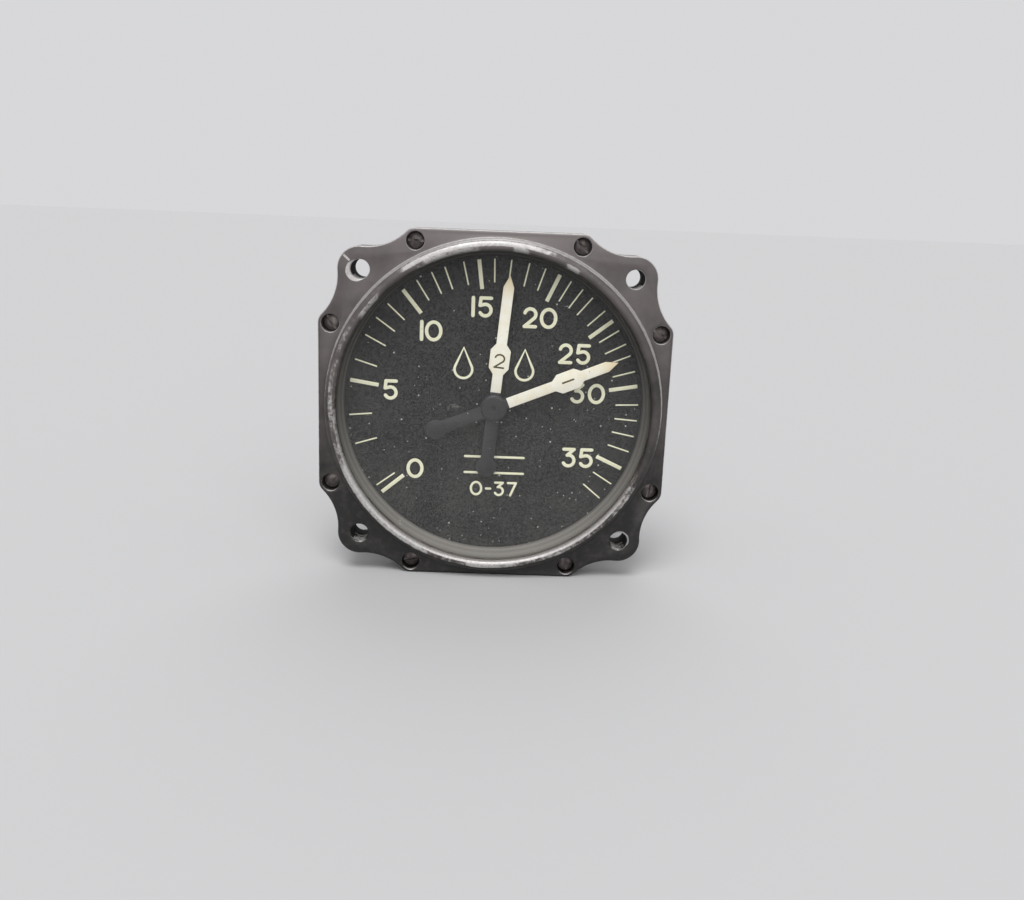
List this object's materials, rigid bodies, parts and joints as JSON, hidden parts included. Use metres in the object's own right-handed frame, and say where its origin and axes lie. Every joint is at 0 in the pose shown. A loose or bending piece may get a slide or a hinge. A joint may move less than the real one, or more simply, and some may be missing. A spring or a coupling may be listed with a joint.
{
  "type": "aircraft oil quantity gauge",
  "caption": "Round panel gauge with a square lobed flange, cover glass, black scaled dial, two coaxial pointers on separate shafts and a stepped rear case with a round connector.",
  "frame": {"origin": "centre of the front, panel side face of the flange, on the pointers' axis", "axes": "the dial faces -Y, +Z points to 12 o'clock and +X to 3 o'clock as read from the front"},
  "size_m": [0.0822, 0.071, 0.0822],
  "materials": {
    "black_painted_casting": "satin",
    "cover_glass": "gloss",
    "grey_ring": "satin",
    "dial_black": "matte",
    "luminous_paint": "matte",
    "blackened_steel": "satin",
    "bright_steel": "satin",
    "brass": "satin",
    "laminated_iron": "satin",
    "enamelled_copper": "gloss",
    "insulated_wire": "matte",
    "cork": "matte",
    "black_rubber": "matte",
    "plated_aluminium": "satin",
    "black_phenolic": "satin"
  },
  "bodies": {
    "case": {"bezel": "black_painted_casting", "glass_gasket": "cork", "cover_glass": "cover_glass", "spacer_ring": "grey_ring", "dial_plate": "dial_black", "flange_gasket": "cork", "case_body": "black_painted_casting", "case_screws": "blackened_steel", "front_plate": "brass", "plate_screws": "bright_steel", "mid_plate": "brass", "rear_plate": "brass", "tie_screws": "bright_steel", "spacer_sleeves": "brass", "front_bush": "brass", "mid_bush": "brass", "rear_bush": "brass", "front_stator_core": "laminated_iron", "rear_stator_core": "laminated_iron", "front_stator_coils": "enamelled_copper", "rear_stator_coils": "enamelled_copper", "front_damping_cup": "enamelled_copper", "rear_damping_cup": "enamelled_copper", "front_stop_pin": "bright_steel", "rear_stop_pin": "bright_steel", "magnetic_shield": "laminated_iron", "lead_wires": "insulated_wire", "rear_cover": "black_painted_casting", "cover_gasket": "cork", "cover_screws": "blackened_steel", "connector_gasket": "black_rubber", "connector_shell": "plated_aluminium", "connector_insert": "black_phenolic", "connector_pins": "brass", "connector_screws": "blackened_steel"},
    "pointer_1_rotor": {"pointer_1_blade": "luminous_paint", "pointer_1_hub": "dial_black", "long_shaft": "bright_steel", "rear_rotor_hub": "brass", "rear_rotor_magnet": "laminated_iron", "rear_balance_sector": "brass"},
    "pointer_2_rotor": {"pointer_2_blade": "luminous_paint", "pointer_2_hub": "dial_black", "hollow_shaft": "bright_steel", "front_rotor_hub": "brass", "front_rotor_magnet": "laminated_iron", "front_balance_sector": "brass"}
  },
  "joints": [
    {"name": "pointer_1_turn", "type": "hinge", "parent": "case", "child": "pointer_1_rotor", "pos_m": [0, 0, 0], "axis": [0, 1, 0], "range_deg": [-202.5, 67.5]},
    {"name": "pointer_2_turn", "type": "hinge", "parent": "case", "child": "pointer_2_rotor", "pos_m": [0, 0, 0], "axis": [0, 1, 0], "range_deg": [-140.15, 129.85]}
  ]
}
